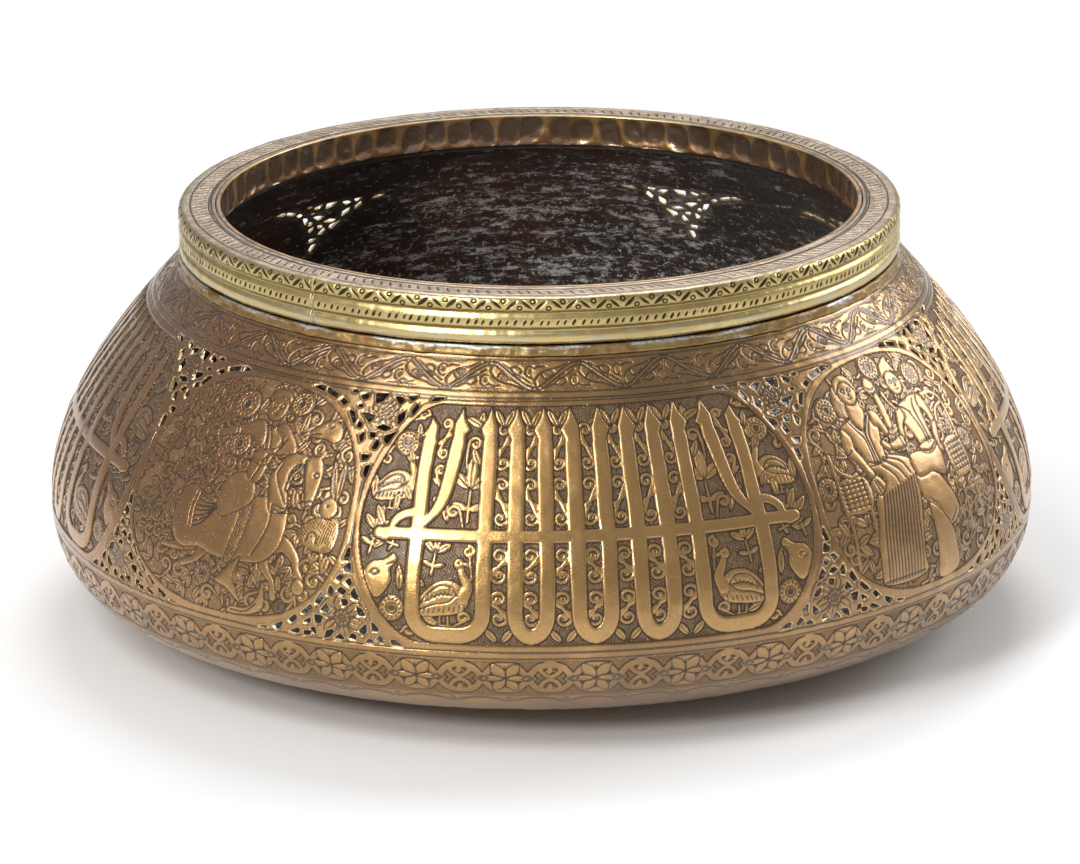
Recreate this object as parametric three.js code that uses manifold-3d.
// A squat brass bowl: a raised sheet shell with pierced spandrels, a moulded strip that forms the
// hollow rim, a hammered lining strip in the mouth and the solder that joins them.
// Millimetres, +Z up, origin at the middle of the flat base. One cartouche faces -Y.
import * as THREE from 'three';
import { mergeVertices } from 'three/addons/utils/BufferGeometryUtils.js';
import Module from 'manifold-3d';

const wasm = await Module();
wasm.setup();

// Overall form of the shell
const totalHeight = 151.7;
const baseRadius = 98;
const bellyRadius = 180;
const bellyHeight = 45;
const shellWall = 1.5;

// How the wall leaves the base, turns at the belly and reaches the shoulder
const baseSlope = THREE.MathUtils.degToRad(12);
const basePull = 54;
const bellyPullDown = 39;
const bellyPullUp = 32;
const shoulderSlope = THREE.MathUtils.degToRad(48);
const shoulderPull = 30;

// Mouth lining and rim moulding
const rimOuterRadius = 130.9;
const rimWidth = 15.4;
const liningWall = 1.5;
const liningHeight = 12;
const rimTopWall = 1.4;
const rimCornerRadius = 2.3;
const grooveDepth = 1.2;
const grooveWall = 1.2;
const upperBandHeight = 5.8;
const middleBandHeight = 6.1;
const lowerBandHeight = 5.1;

// Solder and clearances
const seatGap = 0.3;
const beadWidth = 0.9;
const beadHeight = 3.3;
const liningBeadWidth = 2.2;
const jointWidth = 0.8;
const jointAngle = THREE.MathUtils.degToRad(-43);

// The decorated zone: cartouches and medallions alternate between two borders
const panelPairs = 4;
const zoneTop = 15.9;
const zoneHeight = 90.2;
const cartoucheHalfAngle = 28.05;

// Piercing of the spandrels. An outline's points run across, from the line where two frames meet
// towards the medallion, and in from the border, on a sheet rolled round at sheetRadius.
const openingGrowth = 0.3;
const sheetRadius = 172;
const upperOpenings = [
  [[3.6, 1.1], [-1.7, 0.8], [0.2, 3.6], [2.6, 4.5]],
  [[-4.7, 16.4], [-8.8, 14.4], [-6.4, 19], [-4.8, 18]],
  [[7.1, 9], [5.1, 8.8], [1.7, 9.6], [3.4, 11.8]],
  [[-8.2, 8.4], [-10.6, 6.5], [-10.9, 9.3], [-8.8, 11.5]],
  [[-0.3, 13.5], [-2.7, 12.3], [-6.3, 13.2], [-4.2, 14.4]],
  [[26.3, 1.6], [20.8, 3.3], [21.3, 4.5], [26.1, 3.1]],
  [[13.1, 8.6], [10.9, 9.1], [9.2, 12.1], [9.8, 13.1]],
  [[-5.3, 1.6], [-7.4, 1.5], [-9.8, 2.5], [-7.8, 4]],
  [[32.8, 2], [29.9, 1.1], [27.7, 1.4], [27.9, 2.9]],
  [[0.2, 27.9], [-1.4, 27.5], [-0.6, 31.9], [0.4, 30.9]],
  [[-21.2, 2], [-22.3, 0.7], [-26.4, 0.5], [-24.1, 1.6]],
];
const lowerOpenings = [
  [[10.7, 8.4], [7.9, 8.2], [8.6, 6], [10.2, 5.4]],
  [[26.7, 2], [23.1, 3.7], [23.6, 2.2], [25.4, 0.5]],
  [[8.7, 16.5], [7.7, 15], [9.4, 12.5], [10.7, 12.7]],
  [[-5.4, 4.7], [-7.7, 7.2], [-7.8, 4.7], [-6.6, 3.2]],
  [[-3.1, 19.5], [-4.8, 15.7], [-2.6, 16.4], [-2.1, 17.7]],
  [[-11.4, 2.4], [-12.7, 3.7], [-14.2, 1.5], [-12.7, 1.3]],
  [[-0.6, 28], [-1.4, 25.2], [0.7, 25], [1.2, 26.4]],
  [[6.4, 3], [3.9, 3.9], [4.9, 1.8], [7.2, 0.5]],
  [[-16.4, 2.5], [-17.9, 2.4], [-20.3, 0.5], [-16.9, 0.7]],
  [[0.4, 33.3], [-0.2, 31.3], [0.4, 28.8], [1.7, 29]],
];

// Facets
const segments = 64;
const curveSteps = 9;
const weld = 1e-4;
const cutDepth = 2;

// Sizes that follow from the ones above
const bandHeights = [upperBandHeight, middleBandHeight, lowerBandHeight];
const rimHeight = upperBandHeight + middleBandHeight + lowerBandHeight;
const mouthRadius = rimOuterRadius - rimWidth;
const rimFoot = totalHeight - rimHeight;
const grooveRadius = rimOuterRadius - grooveDepth;
const rimInnerRadius = grooveRadius - grooveWall;
const liningOuterRadius = mouthRadius + liningWall;
const throatRadius = liningOuterRadius + seatGap;
const shoulderRadius = grooveRadius + seatGap + beadWidth;
const shoulderHeight = rimFoot - seatGap - beadHeight;
const shellMouthHeight = totalHeight - liningHeight + seatGap + shellWall + liningBeadWidth / 2;

// The outside of the wall, from the shoulder down to the base
const bellyPoint = new THREE.Vector2(bellyRadius, bellyHeight);
const shoulderPoint = new THREE.Vector2(shoulderRadius, shoulderHeight);
const upperWall = new THREE.CubicBezierCurve(
  shoulderPoint,
  new THREE.Vector2(
    shoulderRadius + shoulderPull * Math.cos(shoulderSlope),
    shoulderHeight - shoulderPull * Math.sin(shoulderSlope),
  ),
  new THREE.Vector2(bellyRadius, bellyHeight + bellyPullUp),
  bellyPoint,
);
const lowerWall = new THREE.CubicBezierCurve(
  bellyPoint,
  new THREE.Vector2(bellyRadius, bellyHeight - bellyPullDown),
  new THREE.Vector2(baseRadius + basePull * Math.cos(baseSlope), basePull * Math.sin(baseSlope)),
  new THREE.Vector2(baseRadius, 0),
);
const wall = new THREE.CurvePath();
wall.add(upperWall);
wall.add(lowerWall);
const wallLength = wall.getLength();

// Place on the outside of the wall, given as a distance down from the shoulder
function wallPoint(down) {
  const share = THREE.MathUtils.clamp(down / wallLength, 0, 1);
  const point = wall.getPoint(share);
  const tangent = wall.getTangent(share);
  return { radius: point.x, height: point.y, outward: new THREE.Vector2(-tangent.y, tangent.x) };
}

// Angles run from -Y towards +X
function onWall(angleDegrees, down, lift) {
  const { radius, height, outward } = wallPoint(down);
  const angle = THREE.MathUtils.degToRad(angleDegrees);
  const distance = radius + outward.x * lift;
  return new THREE.Vector3(
    distance * Math.sin(angle),
    -distance * Math.cos(angle),
    height + outward.y * lift,
  );
}

// Shared vertices joined, and triangles that closed up on the axis left out
function welded(geometry) {
  const bare = geometry.clone();
  bare.deleteAttribute('normal');
  bare.deleteAttribute('uv');
  const merged = mergeVertices(bare, weld);
  const index = [];
  for (let i = 0; i < merged.index.count; i += 3) {
    const [a, b, c] = [0, 1, 2].map((k) => merged.index.getX(i + k));
    if (a !== b && b !== c && c !== a) index.push(a, b, c);
  }
  merged.setIndex(index);
  return merged;
}

function toSolid(geometry) {
  const closed = welded(geometry);
  return new wasm.Manifold(
    new wasm.Mesh({
      numProp: 3,
      vertProperties: new Float32Array(closed.attributes.position.array),
      triVerts: new Uint32Array(closed.index.array),
    }),
  );
}

function toGeometry(solid) {
  const mesh = solid.getMesh();
  const geometry = new THREE.BufferGeometry();
  geometry.setAttribute('position', new THREE.BufferAttribute(new Float32Array(mesh.vertProperties), 3));
  geometry.setIndex(new THREE.BufferAttribute(new Uint32Array(mesh.triVerts), 1));
  return geometry;
}

// Turns an outline of (radius, height) points about the upright axis
function turned(points) {
  return welded(new THREE.LatheGeometry(points, segments).rotateX(Math.PI / 2));
}

// A ring of the given section: the outline is closed on itself
function ring(section) {
  return turned([...section, section[0].clone()]);
}

// Several small prisms through the wall, as one geometry
function wallPrisms(outlines) {
  const positions = [];
  const index = [];
  for (const outline of outlines) {
    const first = positions.length / 3;
    const count = outline.length;
    for (const lift of [cutDepth, -shellWall - cutDepth]) {
      for (const [angle, down] of outline) positions.push(...onWall(angle, down, lift).toArray());
    }
    for (let i = 1; i < count - 1; i += 1) {
      index.push(first, first + i, first + i + 1);
      index.push(first + count, first + count + i + 1, first + count + i);
    }
    for (let i = 0; i < count; i += 1) {
      const next = (i + 1) % count;
      index.push(first + i, first + count + i, first + count + next);
      index.push(first + i, first + count + next, first + next);
    }
  }
  const geometry = new THREE.BufferGeometry();
  geometry.setAttribute('position', new THREE.BufferAttribute(new Float32Array(positions), 3));
  geometry.setIndex(index);
  return geometry;
}

// An outline moved outwards all round by the same distance
function grown(outline, distance) {
  const count = outline.length;
  const points = outline.map(([across, up]) => new THREE.Vector2(across, up));
  const turn = Math.sign(THREE.ShapeUtils.area(points));
  return points.map((point, i) => {
    const before = point.clone().sub(points[(i + count - 1) % count]).normalize();
    const after = points[(i + 1) % count].clone().sub(point).normalize();
    const bisector = new THREE.Vector2(before.y + after.y, -before.x - after.x).multiplyScalar(turn);
    const length = distance / Math.max(bisector.lengthSq() / 2, 0.5);
    return point.clone().addScaledVector(bisector, length);
  });
}

// Openings of one spandrel as outlines of (angle, distance down from the shoulder).
// Positive angles lie on the medallion's side of the place where the frames meet.
function spandrelOutlines(outlines, border, inwardSign) {
  return outlines.map((outline) => {
    return grown(outline, openingGrowth).map((point) => [
      (point.x * 180) / (Math.PI * sheetRadius),
      border + inwardSign * point.y,
    ]);
  });
}

// Sixteen spandrels: above and below each of the eight places where two frames meet
function allOpenings() {
  const openings = [];
  const rows = [
    [upperOpenings, zoneTop, 1],
    [lowerOpenings, zoneTop + zoneHeight, -1],
  ];
  for (const row of rows) {
    const outlines = spandrelOutlines(...row);
    for (let pair = 0; pair < panelPairs; pair += 1) {
      const centre = (360 / panelPairs) * pair;
      for (const side of [-1, 1]) {
        for (const outline of outlines) {
          const placed = outline.map(([angle, down]) => [
            centre + side * (cartoucheHalfAngle + angle),
            down,
          ]);
          openings.push(placed);
        }
      }
    }
  }
  return openings;
}

// Corners in one turning direction, seen from outside, whatever the mirroring did
function facingOut(outline) {
  let area = 0;
  outline.forEach(([x, y], i) => {
    const [nextX, nextY] = outline[(i + 1) % outline.length];
    area += x * nextY - nextX * y;
  });
  return area < 0 ? outline : [...outline].reverse();
}

function shellGeometry() {
  const outer = [...upperWall.getPoints(curveSteps), ...lowerWall.getPoints(curveSteps).slice(1)];
  const downs = [];
  for (let i = 0; i < outer.length; i += 1) {
    downs.push(i === 0 ? 0 : downs[i - 1] + outer[i].distanceTo(outer[i - 1]));
  }
  const scale = wallLength / downs[downs.length - 1];
  const inner = outer.slice(0, -1).map((point, i) => {
    const { outward } = wallPoint(downs[i] * scale);
    return new THREE.Vector2(point.x - outward.x * shellWall, point.y - outward.y * shellWall);
  });
  const profile = [
    new THREE.Vector2(0, 0),
    ...outer.reverse(),
    new THREE.Vector2(throatRadius, shellMouthHeight),
    new THREE.Vector2(throatRadius, shellMouthHeight - shellWall),
    ...inner,
    new THREE.Vector2(baseRadius - shellWall, shellWall),
    new THREE.Vector2(0, shellWall),
  ];
  const body = toSolid(turned(profile));
  const cutters = toSolid(wallPrisms(allOpenings().map(facingOut)));
  return toGeometry(body.subtract(cutters));
}

// Section of the rim strip: flat top, rounded corner, three bands, hollow behind
function rimSection() {
  const section = [new THREE.Vector2(throatRadius, totalHeight)];
  const corner = new THREE.Vector2(rimOuterRadius - rimCornerRadius, totalHeight - rimCornerRadius);
  for (const turn of [90, 55, 20]) {
    const angle = THREE.MathUtils.degToRad(turn);
    section.push(new THREE.Vector2(
      corner.x + rimCornerRadius * Math.cos(angle),
      corner.y + rimCornerRadius * Math.sin(angle),
    ));
  }
  let top = totalHeight;
  bandHeights.forEach((height, band) => {
    const shares = band === 0 ? [0.6, 0.86] : [0.14, 0.4, 0.86];
    for (const share of shares) {
      const bulge = 1 - Math.abs(2 * share - 1) ** 4;
      section.push(new THREE.Vector2(grooveRadius + grooveDepth * bulge, top - height * share));
    }
    top -= height;
    section.push(new THREE.Vector2(grooveRadius, top));
  });
  section.push(
    new THREE.Vector2(rimInnerRadius, rimFoot),
    new THREE.Vector2(rimInnerRadius, totalHeight - rimTopWall - rimCornerRadius / 2),
    new THREE.Vector2(rimInnerRadius - rimCornerRadius / 2, totalHeight - rimTopWall),
    new THREE.Vector2(throatRadius, totalHeight - rimTopWall),
  );
  return section;
}

// The strip is bent to a ring whose ends stop short of each other at the joint, on +X here
function rimGeometry() {
  const gapWidth = jointWidth + 2 * seatGap;
  const reach = rimOuterRadius + cutDepth;
  const gap = new THREE.BoxGeometry(reach, gapWidth, totalHeight * 2).translate(reach / 2, 0, 0);
  return toGeometry(toSolid(ring(rimSection().reverse())).subtract(toSolid(gap)));
}

function brazeGeometry() {
  const geometry = new THREE.ExtrudeGeometry(new THREE.Shape(rimSection()), {
    depth: jointWidth,
    bevelEnabled: false,
  });
  return geometry.translate(0, 0, -jointWidth / 2).rotateX(Math.PI / 2);
}

function liningGeometry() {
  const foot = totalHeight - liningHeight;
  return ring([
    new THREE.Vector2(mouthRadius, foot),
    new THREE.Vector2(liningOuterRadius, foot),
    new THREE.Vector2(liningOuterRadius, totalHeight),
    new THREE.Vector2(mouthRadius, totalHeight),
  ]);
}

// Height of the shell's outer face between the shoulder and the mouth
function seatHeight(radius) {
  const share = (shoulderRadius - radius) / (shoulderRadius - throatRadius);
  return shoulderHeight + (shellMouthHeight - shoulderHeight) * share;
}

// Bead that fills the corner between the shell and the foot of the rim strip
function collarBeadGeometry() {
  const slope = (shellMouthHeight - shoulderHeight) / (shoulderRadius - throatRadius);
  const lift = seatGap * Math.hypot(1, slope);
  const under = rimFoot - seatGap;
  const innerEdge = rimInnerRadius + grooveWall / 2;
  return ring([
    new THREE.Vector2(innerEdge, under),
    new THREE.Vector2(innerEdge, seatHeight(innerEdge) + lift),
    new THREE.Vector2(shoulderRadius, shoulderHeight + lift),
    new THREE.Vector2(shoulderRadius + beadWidth / 3, shoulderHeight + lift + beadWidth / 3),
    new THREE.Vector2(grooveRadius + beadWidth, under),
  ]);
}

// Fillet under the shell's mouth, behind the foot of the lining
function liningBeadGeometry() {
  const slope = (shellMouthHeight - shoulderHeight) / (shoulderRadius - throatRadius);
  const top = shellMouthHeight - shellWall - seatGap * Math.hypot(1, slope);
  const outerEdge = throatRadius + liningBeadWidth;
  return ring([
    new THREE.Vector2(throatRadius, top - liningBeadWidth * slope - liningBeadWidth / 4),
    new THREE.Vector2(outerEdge, top - liningBeadWidth * slope - liningBeadWidth / 4),
    new THREE.Vector2(outerEdge, top - liningBeadWidth * slope),
    new THREE.Vector2(throatRadius, top),
  ]);
}

const agedBrass = new THREE.MeshStandardMaterial({ color: 0x8e6c43, roughness: 0.42, metalness: 1 });
const brightBrass = new THREE.MeshStandardMaterial({ color: 0xb59a52, roughness: 0.28, metalness: 1 });
const hammeredBrass = new THREE.MeshStandardMaterial({ color: 0x6a432c, roughness: 0.45, metalness: 1 });
const softSolder = new THREE.MeshStandardMaterial({ color: 0xa7a296, roughness: 0.5, metalness: 1 });
const paleBraze = new THREE.MeshStandardMaterial({ color: 0x9c8a55, roughness: 0.4, metalness: 1 });

const bowl = new THREE.Group();

function addPiece(name, geometry, material) {
  const piece = new THREE.Mesh(geometry, material);
  piece.name = name;
  bowl.add(piece);
  return piece;
}

const jointTurn = jointAngle - Math.PI / 2;
addPiece('bowl_shell', shellGeometry(), agedBrass);
addPiece('rim_moulding', rimGeometry(), brightBrass).rotation.z = jointTurn;
addPiece('rim_joint_braze', brazeGeometry(), paleBraze).rotation.z = jointTurn;
addPiece('neck_lining', liningGeometry(), hammeredBrass);
addPiece('collar_solder', collarBeadGeometry(), softSolder);
addPiece('lining_solder', liningBeadGeometry(), softSolder);

export default bowl;
